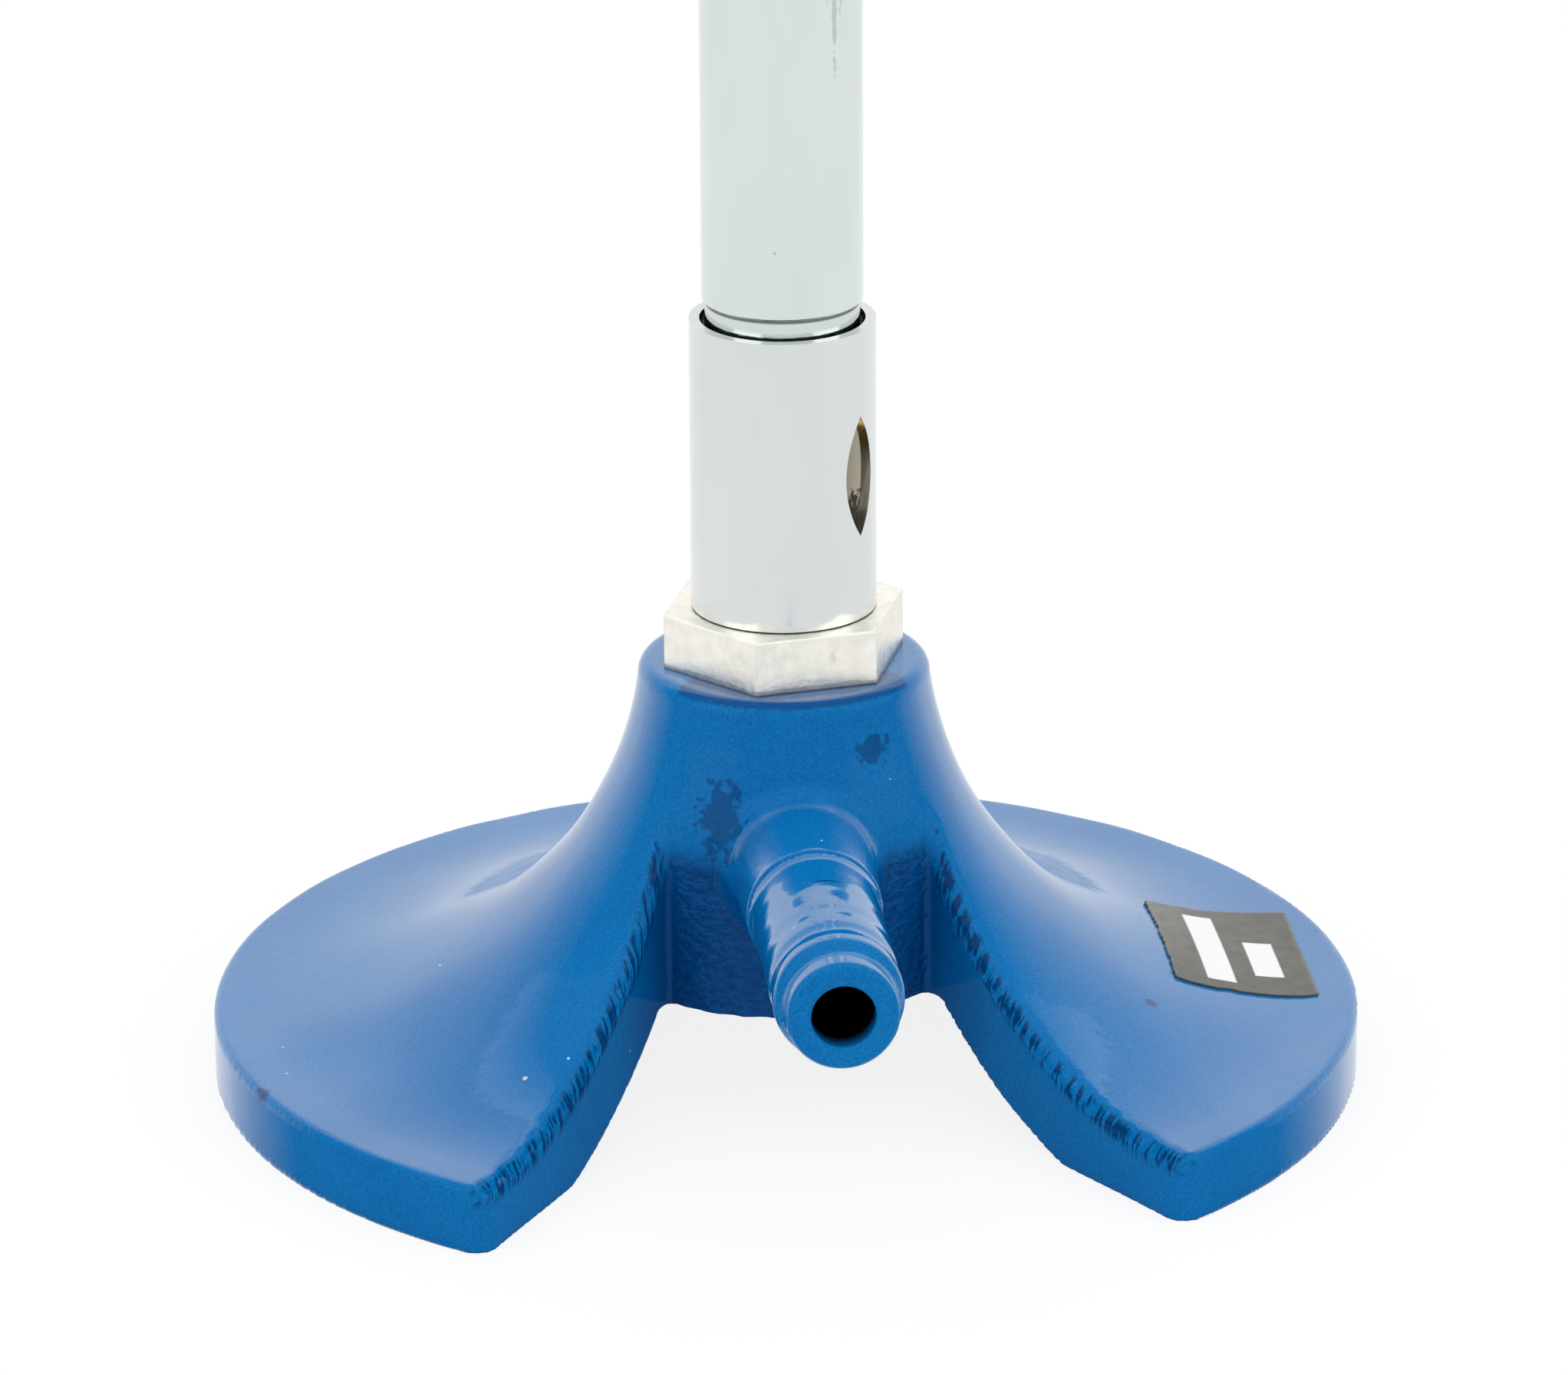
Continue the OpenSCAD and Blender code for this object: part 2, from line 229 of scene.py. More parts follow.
def iso_mesh(name, field, low, high, step):
    """A smooth mesh object of the zero surface of field, a function of x, y, z in millimetres.

    Returns the object and its vertices in millimetres.
    """
    axes = [np.arange(low[i] - step * 1.5, high[i] + step * 2.5, step) for i in range(3)]
    v = field(*np.meshgrid(*axes, indexing="ij"))
    inside = v < 0
    n = [len(a) - 1 for a in axes]
    corners = [(i, j, k) for i in (0, 1) for j in (0, 1) for k in (0, 1)]

    def part(a, c):
        return a[c[0]: c[0] + n[0], c[1]: c[1] + n[1], c[2]: c[2] + n[2]]

    total = sum(part(inside, c).astype(np.int8) for c in corners)
    cells = np.argwhere((total > 0) & (total < 8))
    number = -np.ones(n, dtype=np.int64)
    number[tuple(cells.T)] = np.arange(len(cells))
    point, count = np.zeros((len(cells), 3)), np.zeros(len(cells))
    for a in corners:
        for axis in range(3):
            if a[axis]:
                continue
            b = tuple(1 if i == axis else a[i] for i in range(3))
            va, vb = v[tuple((cells + a).T)], v[tuple((cells + b).T)]
            cut = (va < 0) != (vb < 0)
            t = np.where(cut, va / np.where(cut, va - vb, 1), 0)
            where = np.array(a, float) + t[:, None] * (np.array(b) - np.array(a))
            point += where * cut[:, None]
            count += cut
    p = (cells + point / count[:, None]) * step + [a[0] for a in axes]
    for _ in range(2):
        p = settle(field, p, step)
    faces = []
    for axis in range(3):
        u, w = [i for i in range(3) if i != axis]
        at = [slice(1, n[i]) for i in range(3)]
        at[axis] = slice(0, n[axis])
        ahead = list(at)
        ahead[axis] = slice(1, n[axis] + 1)
        a, b = inside[tuple(at)], inside[tuple(ahead)]
        edges = np.argwhere(a != b)
        start = a[tuple(edges.T)]
        base = edges.copy()
        base[:, u] += 1
        base[:, w] += 1
        quad = []
        for du, dw in ((-1, -1), (0, -1), (0, 0), (-1, 0)):
            c = base.copy()
            c[:, u] += du
            c[:, w] += dw
            quad.append(number[tuple(c.T)])
        quad = np.stack(quad, 1)
        flip = start if axis == 1 else ~start
        quad[flip] = quad[flip][:, ::-1]
        faces.append(quad)
    faces = np.concatenate(faces)
    me = bpy.data.meshes.new(name)
    me.vertices.add(len(p))
    me.vertices.foreach_set("co", (p * MM).ravel())
    me.loops.add(faces.size)
    me.loops.foreach_set("vertex_index", faces.ravel())
    me.polygons.add(len(faces))
    me.polygons.foreach_set("loop_start", np.arange(0, faces.size, 4))
    me.update(calc_edges=True)
    me.shade_smooth()
    ob = bpy.data.objects.new(name, me)
    scene.collection.objects.link(ob)
    return ob, p


def settle(field, p, step):
    """Moves points onto the zero surface of field."""
    h = step * 0.25
    g = np.stack([
        field(p[:, 0] + h, p[:, 1], p[:, 2]) - field(p[:, 0] - h, p[:, 1], p[:, 2]),
        field(p[:, 0], p[:, 1] + h, p[:, 2]) - field(p[:, 0], p[:, 1] - h, p[:, 2]),
        field(p[:, 0], p[:, 1], p[:, 2] + h) - field(p[:, 0], p[:, 1], p[:, 2] - h),
    ], 1) / (2 * h)
    size = np.maximum(np.linalg.norm(g, axis=1), 0.3)[:, None]
    move = field(p[:, 0], p[:, 1], p[:, 2])[:, None] / size
    return p - np.clip(move, -0.4 * step, 0.4 * step) * g / size


def attribute(ob, name, values):
    """Stores one number a vertex, for the materials to read."""
    layer = ob.data.attributes.new(name, "FLOAT", "POINT")
    layer.data.foreach_set("value", np.asarray(values, np.float32))


# ---------------------------------------------------------------- materials
def material(name):
    m = bpy.data.materials.new(name)
    m.use_nodes = True
    return m, m.node_tree, m.node_tree.nodes["Principled BSDF"]


def add(tree, kind, **settings):
    node = tree.nodes.new(kind)
    for k, value in settings.items():
        setattr(node, k, value)
    return node


def place(tree):
    return add(tree, "ShaderNodeTexCoord").outputs["Object"]


def noise(tree, scale, detail=3.0, rough=0.5, squash=None):
    """Noise of the object's own coordinates: scale is in bumps to a metre."""
    node = add(tree, "ShaderNodeTexNoise")
    node.inputs["Scale"].default_value = scale
    node.inputs["Detail"].default_value = detail
    node.inputs["Roughness"].default_value = rough
    where = place(tree)
    if squash:
        shape = add(tree, "ShaderNodeMapping")
        shape.inputs["Scale"].default_value = squash
        tree.links.new(where, shape.inputs["Vector"])
        where = shape.outputs["Vector"]
    tree.links.new(where, node.inputs["Vector"])
    return node.outputs["Fac"]


def remap(tree, source, a, b, c, d):
    node = add(tree, "ShaderNodeMapRange")
    for i, value in ((1, a), (2, b), (3, c), (4, d)):
        node.inputs[i].default_value = value
    tree.links.new(source, node.inputs[0])
    return node.outputs[0]


def blend_colour(tree, factor, a, b):
    node = add(tree, "ShaderNodeMix", data_type="RGBA")
    tree.links.new(factor, node.inputs["Factor"])
    for socket, value in ((6, a), (7, b)):
        if isinstance(value, tuple):
            node.inputs[socket].default_value = (*value, 1)
        else:
            tree.links.new(value, node.inputs[socket])
    return node.outputs[2]


def math_node(tree, operation, a, b):
    node = add(tree, "ShaderNodeMath", operation=operation)
    for socket, value in ((0, a), (1, b)):
        if isinstance(value, (int, float)):
            node.inputs[socket].default_value = value
        else:
            tree.links.new(value, node.inputs[socket])
    return node.outputs[0]


def bump(tree, height, distance, under=None):
    node = add(tree, "ShaderNodeBump")
    node.inputs["Strength"].default_value = 1.0
    node.inputs["Distance"].default_value = distance
    tree.links.new(height, node.inputs["Height"])
    if under:
        tree.links.new(under, node.inputs["Normal"])
    return node.outputs["Normal"]


def read(tree, name):
    return add(tree, "ShaderNodeAttribute", attribute_name=name).outputs["Fac"]


def specks(tree, scale, size):
    """1 in small scattered dots, 0 between them."""
    node = add(tree, "ShaderNodeTexVoronoi")
    node.inputs["Scale"].default_value = scale
    tree.links.new(place(tree), node.inputs["Vector"])
    return remap(tree, node.outputs["Distance"], size, size * 0.6, 0, 1)


def spot(tree, at, size, ragged=0.5, scale=1500):
    """1 inside a ragged blob about the point at, 0 outside. Its place and half sizes are in mm."""
    shape = add(tree, "ShaderNodeMapping", vector_type="TEXTURE")
    shape.inputs["Location"].default_value = [a * MM for a in at]
    shape.inputs["Scale"].default_value = [a * MM for a in size]
    tree.links.new(place(tree), shape.inputs["Vector"])
    length = add(tree, "ShaderNodeVectorMath", operation="LENGTH")
    tree.links.new(shape.outputs["Vector"], length.inputs[0])
    centred = math_node(tree, "SUBTRACT", noise(tree, scale, 3, 0.6), 0.5)
    wobble = math_node(tree, "MULTIPLY", centred, ragged * 4)
    return remap(tree, math_node(tree, "ADD", length.outputs["Value"], wobble), 0.9, 1.0, 1, 0)


def grazing(tree, start, end, low, high, less=None):
    """A gloss share that rises from low, seen square on, to high at a shallow angle.

    less is a socket that holds it back.
    """
    layer = add(tree, "ShaderNodeLayerWeight")
    layer.inputs["Blend"].default_value = 0.5
    facing = layer.outputs["Facing"]
    if less:
        facing = math_node(tree, "SUBTRACT", facing, less)
    return remap(tree, facing, start, end, low, high)


PAINT = (0.001, 0.150, 0.42)
PAINT_DEEP = (0.001, 0.040, 0.17)
PAINT_DARK = (0.001, 0.020, 0.10)
PAINT_PALE = (0.002, 0.172, 0.46)
PAINT_TORN = (0.001, 0.030, 0.13)
PAINT_CHIP = (0.45, 0.55, 0.70)
COAT_IOR = 1.95
PLATE = (0.70, 0.77, 0.73)
PORT_DARK = (0.05, 0.035, 0.02)

# Dark patches with their half sizes, the left one a painted reflection and the right one a flaw;
# pits and chips of the casting with their radii
REFLECTION_AND_FLAW_PATCHES = (((5.9, -10.6, 30.2), (1.3, 2.0, 1.1)), ((-6.3, -12.2, 25.4), (1.7, 2.2, 3.0)))
PITS = (
    ((29.8, 6.0, 8.2), 0.32), ((28.0, -12.2, 8.1), 0.55), ((30.6, -5.5, 7.9), 0.30),
    ((-43.1, -16.3, 5.5), 0.8), ((-30.0, -8.0, 7.6), 0.25), ((26.0, 10.0, 9.5), 0.30),
)
CHIPS = (
    ((-22.6, -21.3, 7.9), 0.22), ((-19.1, -20.8, 9.2), 0.14), ((-25.5, -23.0, 7.0), 0.12),
    ((5.6, -11.2, 31.5), 0.10),
)


def blue_paint(name, cast):
    """Glossy blue enamel with painted shade, and if cast is true the casting's marks, wrinkles and
    a painted reflection.
    """
    m, t, p = material(name)
    colour = blend_colour(t, remap(t, noise(t, 55, 2), 0.35, 0.65, 0, 1), PAINT, PAINT_PALE)
    grain = remap(t, noise(t, 5200, 1), 0.35, 0.65, 0, 0.35)
    colour = blend_colour(t, grain, colour, PAINT_DEEP)
    fine = bump(t, noise(t, 2600, 2), 0.00002)
    if cast:
        strokes = add(t, "ShaderNodeCombineXYZ")
        t.links.new(read(t, "along"), strokes.inputs[0])
        t.links.new(read(t, "down"), strokes.inputs[1])
        grooves = add(t, "ShaderNodeTexNoise")
        grooves.inputs["Scale"].default_value = 2.5
        grooves.inputs["Detail"].default_value = 2.0
        t.links.new(strokes.outputs[0], grooves.inputs["Vector"])
        deep = remap(t, grooves.outputs["Fac"], 0.49, 0.58, 0, 0.9)
        torn = math_node(t, "MULTIPLY", read(t, "edge"), deep)
        colour = blend_colour(t, torn, colour, PAINT_TORN)
        # painted shade in the notch's corner, from the shade attribute
        colour = blend_colour(t, read(t, "shade"), colour, PAINT_DEEP)
        # dark patches: the left one, beside the inlet, is a painted reflection, the right one a
        # flaw
        for at, size in REFLECTION_AND_FLAW_PATCHES:
            patch = math_node(t, "MULTIPLY", spot(t, at, size, 0.8, 1300), 0.55)
            colour = blend_colour(t, patch, colour, PAINT_DARK)
        for at, size in PITS:
            dent = math_node(t, "MULTIPLY", spot(t, at, (size,) * 3), 0.7)
            colour = blend_colour(t, dent, colour, PAINT_DARK)
        for at, size in CHIPS:
            colour = blend_colour(t, spot(t, at, (size,) * 3), colour, PAINT_CHIP)
        fine = bump(t, math_node(t, "MULTIPLY", torn, -1), 0.00012, fine)
        worm = noise(t, 1150, 2.5, 0.55, (1, 1, 1.8))
        wrinkle = math_node(t, "MULTIPLY", read(t, "cast"), worm)
        # Painted shade: the paint darkens in the troughs of the wrinkles
        low = math_node(t, "MULTIPLY", read(t, "cast"), remap(t, worm, 0.46, 0.54, 0.35, 0))
        colour = blend_colour(t, low, colour, PAINT_DARK)
        fine = bump(t, wrinkle, 0.00034, fine)
    else:
        # The bore is bare inside; its near-black colour, deepening from the mouth inwards, is
        # painted shade
        colour = blend_colour(t, read(t, "bore"), colour, (0.004, 0.004, 0.005))
        scratch = spot(t, (0.3, -29.0, 26.2), (1.3, 0.14, 1.0), 0.2)
        colour = blend_colour(t, scratch, colour, PAINT_DARK)
    colour = blend_colour(t, specks(t, 190, 0.026), colour, PAINT_CHIP)
    t.links.new(colour, p.inputs["Base Color"])
    t.links.new(remap(t, noise(t, 240, 3), 0.3, 0.7, 0.24, 0.36), p.inputs["Roughness"])
    p.inputs["Coat Roughness"].default_value = 0.10 if cast else 0.05
    p.inputs["Coat IOR"].default_value = COAT_IOR
    p.inputs["Specular IOR Level"].default_value = 0.0  # the coat alone gives the gloss
    less = read(t, "dull") if cast else None
    t.links.new(grazing(t, 0.34, 0.62, 0.05, 1.0, less), p.inputs["Coat Weight"])
    pit = specks(t, 420, 0.10)
    fine = bump(t, math_node(t, "MULTIPLY", pit, -1), 0.00005, fine)
    t.links.new(fine, p.inputs["Normal"])
    coat = bump(t, noise(t, 600, 2), 0.00002 if cast else 0.00001)
    if cast:
        coat = bump(t, wrinkle, 0.00030, coat)
    t.links.new(coat, p.inputs["Coat Normal"])
    return m


def chrome(name, colour, marks=()):
    """Bright plate drawn along the axis; marks are spots of a place, half sizes and a depth."""
    m, t, p = material(name)
    cloud = remap(t, noise(t, 120, 3, 0.6, (1, 1, 0.35)), 0.3, 0.7, 0, 1)
    base = blend_colour(t, cloud, tuple(c * 0.94 for c in colour), colour)
    for at, size, depth in marks:
        mark = math_node(t, "MULTIPLY", spot(t, at, size, 0.5, 900), depth)
        base = blend_colour(t, mark, base, (0.12, 0.13, 0.12))
    t.links.new(base, p.inputs["Base Color"])
    p.inputs["Metallic"].default_value = 1.0
    drawn = noise(t, 700, 4, 0.6, (1, 1, 0.12))
    t.links.new(remap(t, drawn, 0.3, 0.7, 0.10, 0.22), p.inputs["Roughness"])
    t.links.new(bump(t, noise(t, 1800, 3, 0.5, (1, 1, 0.08)), 0.000004), p.inputs["Normal"])
    return m


def nickel(name):
    """Dull stained plate with a darker lower edge and slightly worn corners."""
    m, t, p = material(name)
    stain = remap(t, noise(t, 520, 4, 0.65), 0.64, 0.76, 0, 0.5)
    cloud = remap(t, noise(t, 900, 3), 0.3, 0.7, 0, 1)
    base = blend_colour(t, cloud, (0.82, 0.80, 0.72), (0.92, 0.90, 0.83))
    base = blend_colour(t, stain, base, (0.52, 0.46, 0.36))
    low = spot(t, (0, 0, BASE_H), (12, 12, 0.75), 0.12, 700)
    base = blend_colour(t, math_node(t, "MULTIPLY", low, 0.55), base, (0.30, 0.30, 0.27))
    residue = spot(t, (-7.9, -5.6, BASE_H + 0.1), (0.5, 0.5, 0.3), 0.6)
    base = blend_colour(t, residue, base, (0.12, 0.08, 0.03))
    t.links.new(base, p.inputs["Base Color"])
    p.inputs["Metallic"].default_value = 1.0
    t.links.new(remap(t, noise(t, 1500, 3), 0.3, 0.7, 0.30, 0.46), p.inputs["Roughness"])
    edge = add(t, "ShaderNodeBevel")
    edge.inputs["Radius"].default_value = 0.00025
    grain = bump(t, noise(t, 1600, 4, 0.6), 0.00003, edge.outputs["Normal"])
    t.links.new(grain, p.inputs["Normal"])
    return m


def body_metal(name, colour):
    """Bright plate on the neck with a painted shadow under the barrel; warm bare metal with dark
    patches in the ports and the chamber.
    """
    m, t, p = material(name)
    height = add(t, "ShaderNodeSeparateXYZ")
    t.links.new(place(t), height.inputs[0])
    inside = remap(t, height.outputs["Z"], NECK_Z[0] * MM, NECK_Z[1] * MM, 1, 0)
    base = blend_colour(t, inside, tuple(c * 0.9 for c in colour), (0.96, 0.90, 0.76))
    # Dark patches in the ports and the chamber
    dark_cloud = remap(t, noise(t, 800, 4, 0.65, (1, 1, 0.5)), 0.34, 0.46, 0, 0.92)
    for at, size in (((4.7, -3.9, 47.2), (2.4, 2.4, 2.5)), ((4.4, -3.7, 55.6), (2.2, 2.2, 1.1))):
        black = math_node(t, "MULTIPLY", spot(t, at, size, 0.4, 1200), dark_cloud)
        base = blend_colour(t, black, base, PORT_DARK)
    # Painted shadow: the neck darkens just under the barrel's lower edge
    shadow_line = remap(t, height.outputs["Z"], SHADOW_LINE_Z[0] * MM, SHADOW_LINE_Z[1] * MM, 0, 0.85)
    base = blend_colour(t, shadow_line, base, (0.06, 0.06, 0.05))
    t.links.new(base, p.inputs["Base Color"])
    t.links.new(remap(t, inside, 0, 1, 1, 0.1), p.inputs["Metallic"])
    t.links.new(remap(t, inside, 0, 1, 0.12, 0.5), p.inputs["Roughness"])
    t.links.new(bump(t, noise(t, 1500, 3, 0.5, (1, 1, 4)), 0.00001), p.inputs["Normal"])
    return m


def brass(name):
    """Turned brass."""
    m, t, p = material(name)
    colour = blend_colour(t, noise(t, 800, 3), (0.62, 0.42, 0.16), (0.80, 0.60, 0.28))
    t.links.new(colour, p.inputs["Base Color"])
    p.inputs["Metallic"].default_value = 1.0
    t.links.new(remap(t, noise(t, 1200, 3), 0.3, 0.7, 0.22, 0.38), p.inputs["Roughness"])
    return m


def vinyl(name):
    """Dark label stock with two plain pale bars."""
    m, t, p = material(name)
    cloud = remap(t, noise(t, 700, 3), 0.35, 0.65, 0, 1)
    colour = blend_colour(t, cloud, (0.052, 0.052, 0.040), (0.078, 0.078, 0.060))
    colour = blend_colour(t, read(t, "bar"), colour, (0.80, 0.80, 0.80))
    colour = blend_colour(t, read(t, "side"), colour, (0.16, 0.15, 0.12))
    t.links.new(colour, p.inputs["Base Color"])
    t.links.new(remap(t, noise(t, 900, 2), 0.3, 0.7, 0.24, 0.34), p.inputs["Roughness"])
    t.links.new(bump(t, noise(t, 3000, 2), 0.00001), p.inputs["Normal"])
    return m


def give(ob, m):
    """Puts m on every slot of ob, a new piece or a CAD node."""
    if not ob.material_slots:
        ob.data.materials.append(m)
    for s in ob.material_slots:
        s.link = "OBJECT"
        s.material = m


PAINT_CAST = blue_paint("blue_paint_cast", True)
PAINT_TURNED = blue_paint("blue_paint_turned", False)
TUBE_MARKS = (
    ((3.6, -5.2, 90), (0.22, 0.22, 6), 0.30), ((4.1, -4.8, 92), (0.35, 0.35, 4), 0.22),
    ((3.0, -5.6, 91), (0.15, 0.15, 3), 0.20), ((-1.2, -6.2, 69.7), (0.12, 0.3, 0.14), 0.4),
)
CHROME_TUBE = chrome("chrome_tube", PLATE, TUBE_MARKS)
CHROME_SLEEVE = chrome("chrome_sleeve", (0.71, 0.75, 0.74))
BODY_METAL = body_metal("body_metal", PLATE)
NICKEL = nickel("nickel_plate")
BRASS = brass("turned_brass")
VINYL = vinyl("label_vinyl")

# ---------------------------------------------------------------- the casting
cast, points = iso_mesh(
    "cast_foot", casting, (-BASE_R, -BASE_R, 0), (BASE_R, BASE_R, BASE_H), CAST_STEP)
x, y, z = points.T
r = np.hypot(x, y)
wall = notch_wall(x, y)
below = flare_height(r) - z
along = math.sin(NOTCH_HALF) * np.abs(x) - math.cos(NOTCH_HALF) * y
on_wall = np.clip(1.6 - np.abs(wall + 0.3) / 0.8, 0, 1) * (r > BOSS_R + 0.4)
reach = 1.9 + 1.6 * np.clip((24 - along) / 10, 0, 1)
band = np.clip((below - 0.15) / 0.2, 0, 1) * np.clip((reach - below) / 0.6, 0, 1)
attribute(cast, "edge", on_wall * band)
attribute(cast, "along", along - np.where(x < 0, 0.55, 0.05) * below)
attribute(cast, "down", 0.22 * below + np.where(x < 0, 0, 40))
off_inlet = np.hypot(x, z - INLET_Z) > INLET_ROOT_R + 0.9
in_notch = (y < 0) & (wall > 0.4) & (r < BOSS_R + 1.0) & (z < 22) & off_inlet
attribute(cast, "cast", np.where(in_notch, np.clip((below - 1.6) / 1.2, 0, 1), 0.03))
# Painted shade: the paint darkens towards the corner where the notch walls meet the boss
corner = np.clip(1 - (r - BOSS_R) / 9, 0, 1) * (y < 0) * (wall > -0.6)
corner = corner * np.clip((below - 1) / 2, 0, 1)
attribute(cast, "shade", 0.75 * corner)
# The enamel is less glossy on the rim's side, and dull on the rough walls of the notch
rim_side = np.clip((r - BASE_R + 1.2) / 0.8, 0, 1) * np.clip((RIM_H - 0.3 - z) / 0.6, 0, 1)
wall_side = np.clip((wall + 0.6) / 0.3, 0, 1) * np.clip((below - 0.7) / 0.5, 0, 1)
wall_side = wall_side * (y < 0) * (r > BOSS_R - 0.5)
attribute(cast, "dull", np.maximum(0.20 * rim_side, 0.45 * wall_side))
give(cast, PAINT_CAST)
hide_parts("base_casting")
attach(cast, BURNER)

# ---------------------------------------------------------------- the hose nozzle
spout, points = iso_mesh(
    "ridged_nozzle", nozzle,
    (-AROUND_NOZZLE, -INLET_REACH - NOZZLE_L, INLET_Z - AROUND_NOZZLE),
    (AROUND_NOZZLE, -INLET_REACH + NOZZLE_STEM_L, INLET_Z + AROUND_NOZZLE), NOZZLE_STEP)
x, y, z = points.T
# Painted shade in the bore: near black, deepening from the mouth inwards
in_bore = np.hypot(x, z - INLET_Z) < BORE_R + 0.2
attribute(spout, "bore", in_bore * np.clip((y + INLET_REACH + NOZZLE_L - 0.3) / 1.6, 0, 1))
give(spout, PAINT_TURNED)
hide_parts("hose_nozzle")
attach(spout, BURNER)


# ---------------------------------------------------------------- the label
def label():
    """A thin torn-edged sheet that follows the casting's top skin."""
    nu, nv = 90, 140
    rng = np.random.default_rng(11)
    u = np.linspace(-0.5, 0.5, nu)
    v = np.linspace(-0.5, 0.5, nv)
    U, V = np.meshgrid(u, v, indexing="ij")
    X = LABEL_X + U * LABEL_W
    Y = LABEL_Y + V * LABEL_L
    rag = 0.22  # how deep the torn edges cut in
    near_end = np.clip(np.abs(U) * 8 - 3, 0, 1)
    near_side = np.clip(np.abs(V) * 8 - 3, 0, 1)
    X += np.where(U < 0, 1, -1) * rag * (np.abs(waves(0, Y, 0, 1.9, 3)) * near_end)
    Y += np.where(V < 0, 1, -1) * rag * (np.abs(waves(X, 0, 0, 1.5, 4)) * near_side)
    R = np.hypot(X, Y)
    Z = flare_height(R)
    sheet = np.stack([X, Y, Z], -1)
    slope = np.stack([(R - FLARE_X) * X / R, (R - FLARE_X) * Y / R, Z - FLARE_Z], -1)
    normal = -slope / np.linalg.norm(slope, axis=-1, keepdims=True)
    low = (sheet + normal * GLUE_T).reshape(-1, 3)
    high = (sheet + normal * (GLUE_T + LABEL_T)).reshape(-1, 3)
    ids = np.arange(nu * nv).reshape(nu, nv)
    m = nu * nv
    faces = []
    for i in range(nu - 1):
        for j in range(nv - 1):
            a, b, c, d = ids[i, j], ids[i + 1, j], ids[i + 1, j + 1], ids[i, j + 1]
            faces.append((m + a, m + b, m + c, m + d))
            faces.append((d, c, b, a))
    rim = [ids[i, 0] for i in range(nu)] + [ids[-1, j] for j in range(1, nv)]
    rim += [ids[i, -1] for i in range(nu - 2, -1, -1)] + [ids[0, j] for j in range(nv - 2, 0, -1)]
    for a, b in zip(rim, rim[1:] + rim[:1]):
        faces.append((a, b, m + b, m + a))
    me = bpy.data.meshes.new("plain_label")
    places = (np.concatenate([low, high]) * MM).tolist()
    me.from_pydata(places, [], [[int(i) for i in f] for f in faces])
    me.shade_smooth()
    ob = bpy.data.objects.new("plain_label", me)
    scene.collection.objects.link(ob)
    long_bar = (np.abs(U + 0.16) < 0.10) & (np.abs(V + 0.02) < 0.40)
    short_bar = (np.abs(U - 0.20) < 0.10) & (np.abs(V + 0.10) < 0.20)
    bar = (long_bar | short_bar).ravel().astype(float)
    side = ((np.abs(U) > 0.485) | (np.abs(V) > 0.49)).ravel().astype(float)
    attribute(ob, "bar", np.concatenate([bar * 0, bar]))
    attribute(ob, "side", np.concatenate([side, side * 0.5]))
    return ob


sticker = label()
give(sticker, VINYL)
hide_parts("blank_label")
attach(sticker, BURNER)

# ---------------------------------------------------------------- the metal pieces
for node, m in (
    ("hex_body", NICKEL),
    ("gas_jet", BRASS),
    ("mixer_body", BODY_METAL),
    ("air_sleeve", CHROME_SLEEVE),
    ("barrel_tube", CHROME_TUBE),
):
    give(nodes[node], m)

# ---------------------------------------------------------------- floor, world, lights, camera
floor_mesh = bpy.data.meshes.new("floor")
half = 6.0  # half the floor's side
corners = [(-half, -half, 0), (half, -half, 0), (half, half, 0), (-half, half, 0)]
floor_mesh.from_pydata(corners, [], [(0, 1, 2, 3)])
floor = bpy.data.objects.new("floor", floor_mesh)
scene.collection.objects.link(floor)


def seen(tree):
    """1 for camera, glossy and transmission rays."""
    path = add(tree, "ShaderNodeLightPath")
    total = math_node(tree, "MAXIMUM", path.outputs["Is Camera Ray"], path.outputs["Is Glossy Ray"])
    return math_node(tree, "MAXIMUM", total, path.outputs["Is Transmission Ray"])


FLOOR_WHITE = 0.86  # share of plain white in the floor; the rest is lit, so the shadow stays
FLOOR_GREY = 0.86  # colour of the lit rest
WORLD_PLAIN = 0.66  # the world's strength as light; it is shown at 1, which is white
m, t, p = material("pale_floor")
p.inputs["Base Color"].default_value = (FLOOR_GREY, FLOOR_GREY, FLOOR_GREY, 1)
p.inputs["Roughness"].default_value = 0.9
white = add(t, "ShaderNodeEmission")
white.inputs["Strength"].default_value = 1.0
mix = add(t, "ShaderNodeMixShader")
t.links.new(math_node(t, "MULTIPLY", seen(t), FLOOR_WHITE), mix.inputs["Fac"])
t.links.new(p.outputs["BSDF"], mix.inputs[1])
t.links.new(white.outputs["Emission"], mix.inputs[2])
t.links.new(mix.outputs["Shader"], t.nodes["Material Output"].inputs["Surface"])
give(floor, m)

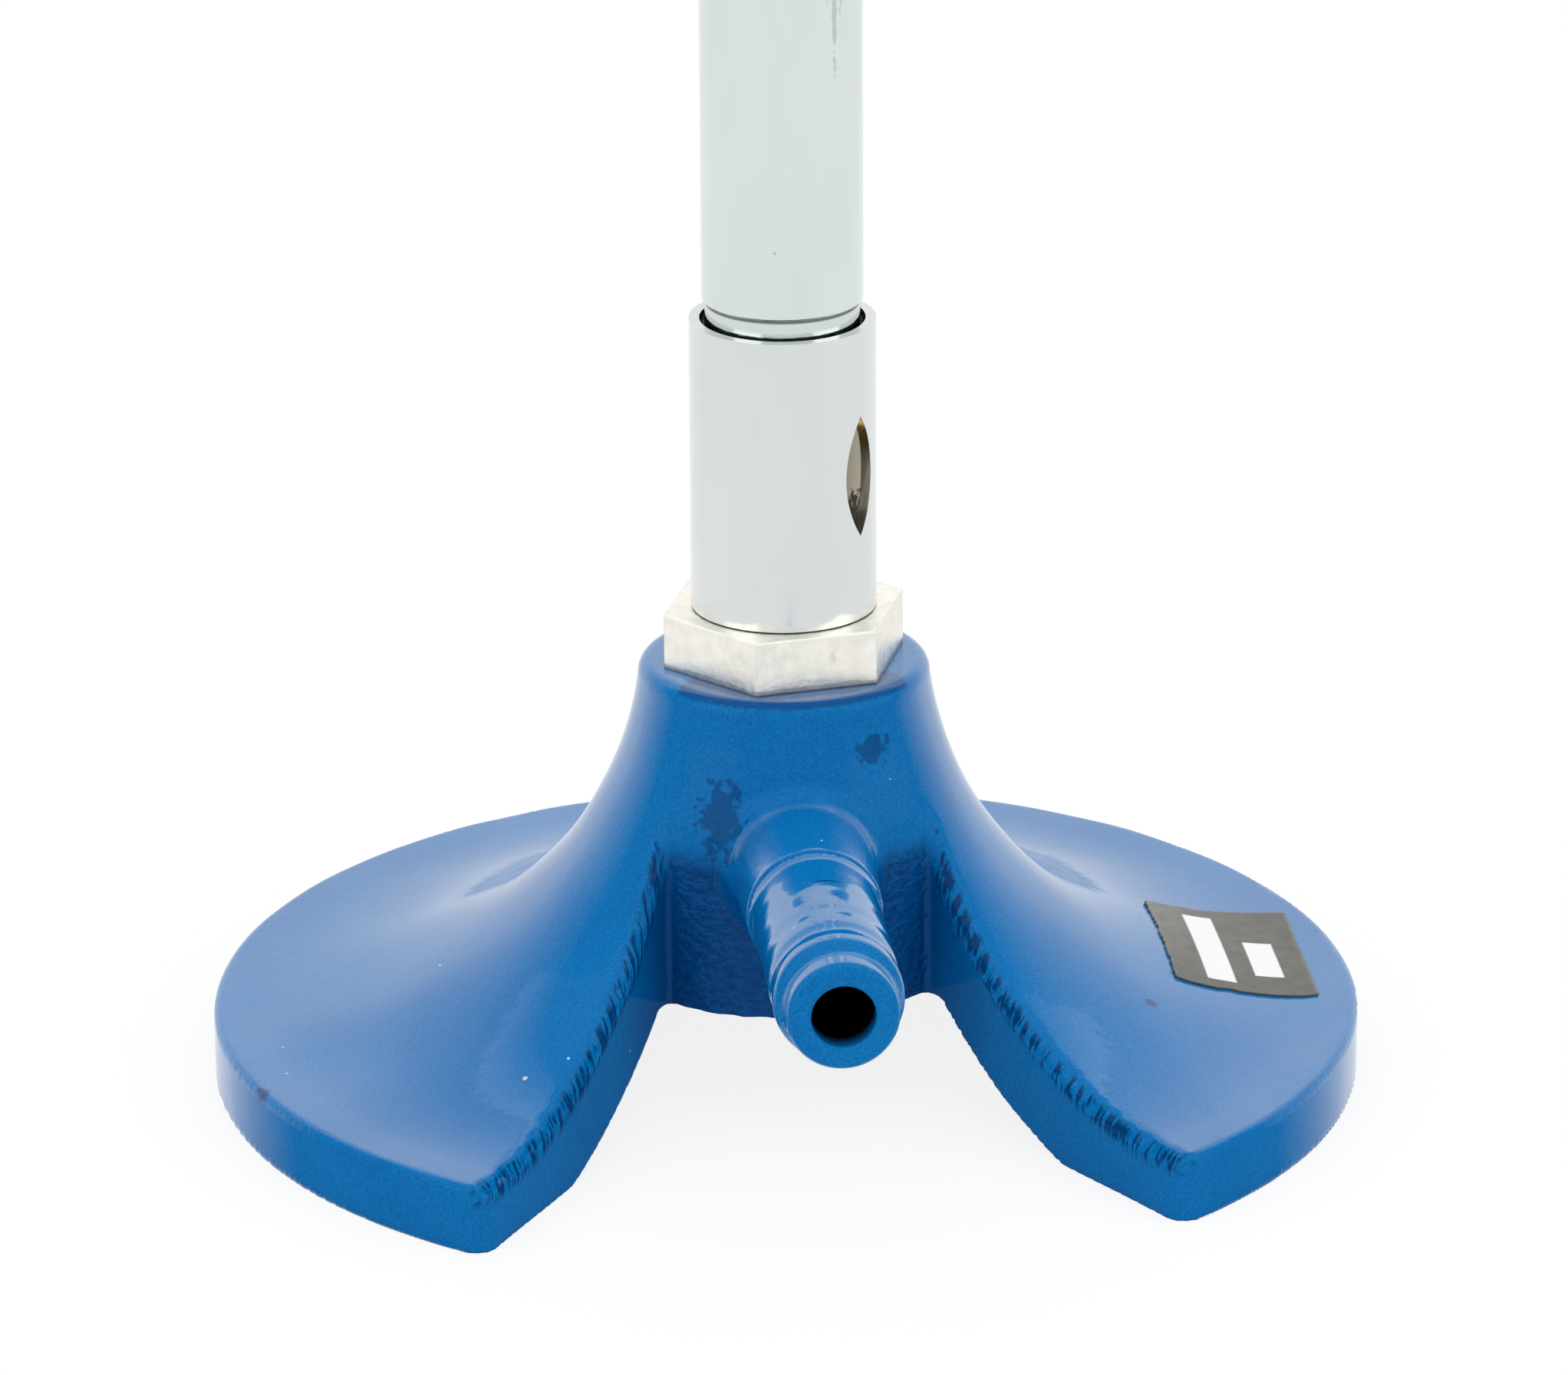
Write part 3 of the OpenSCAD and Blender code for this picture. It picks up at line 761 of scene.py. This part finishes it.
world = bpy.data.worlds.new("studio")
scene.world = world
world.use_nodes = True
t = world.node_tree
plain = t.nodes["Background"]
plain.inputs["Color"].default_value = (1, 1, 1, 1)
plain.inputs["Strength"].default_value = WORLD_PLAIN
shown = add(t, "ShaderNodeBackground")
shown.inputs["Color"].default_value = (1, 1, 1, 1)
shown.inputs["Strength"].default_value = 1.0
mix = add(t, "ShaderNodeMixShader")
t.links.new(seen(t), mix.inputs["Fac"])
t.links.new(plain.outputs["Background"], mix.inputs[1])
t.links.new(shown.outputs["Background"], mix.inputs[2])
t.links.new(mix.outputs["Shader"], t.nodes["World Output"].inputs["Surface"])


def softbox(name, at, target, width, height, power):
    """A rectangular studio light, its place and sides in metres and its power in watts."""
    data = bpy.data.lights.new(name, "AREA")
    data.shape = "RECTANGLE"
    data.size = width
    data.size_y = height
    data.energy = power
    ob = bpy.data.objects.new(name, data)
    scene.collection.objects.link(ob)
    ob.location = at
    ob.visible_camera = False
    ob.rotation_euler = (Vector(target) - Vector(at)).to_track_quat("-Z", "Y").to_euler()


MIDDLE = (0, 0, 0.04)
softbox("top_light", (0.0, 0.0, 1.20), MIDDLE, 2.4, 2.4, 15.5)
softbox("left_light", (-0.95, -0.55, 0.45), MIDDLE, 0.9, 0.9, 2.0)
softbox("right_light", (0.95, -0.45, 0.45), MIDDLE, 0.9, 0.9, 2.0)

# The camera fitted to the photo
PHOTO_WIDTH = 2044
FOCAL_PIXELS = 10474.4
CAMERA_AT = (-0.05924, -0.59737, 0.25353)
HEADING, PITCH, ROLL = math.radians(5.662), math.radians(20.288), -0.00504
forward = Vector((
    math.sin(HEADING) * math.cos(PITCH),
    math.cos(HEADING) * math.cos(PITCH),
    -math.sin(PITCH),
))
right = Vector((math.cos(HEADING), -math.sin(HEADING), 0))
up = right.cross(forward)
right, up = (
    math.cos(ROLL) * right + math.sin(ROLL) * up,
    -math.sin(ROLL) * right + math.cos(ROLL) * up,
)
data = bpy.data.cameras.new("camera")
data.sensor_width = 36
data.lens = data.sensor_width * FOCAL_PIXELS / PHOTO_WIDTH
data.clip_start = 0.01
data.clip_end = 50
camera = bpy.data.objects.new("camera", data)
scene.collection.objects.link(camera)
turn = Matrix((right, up, -forward)).transposed().to_4x4()
camera.matrix_world = Matrix.Translation(CAMERA_AT) @ turn
scene.camera = camera
scene.view_settings.view_transform = "Standard"
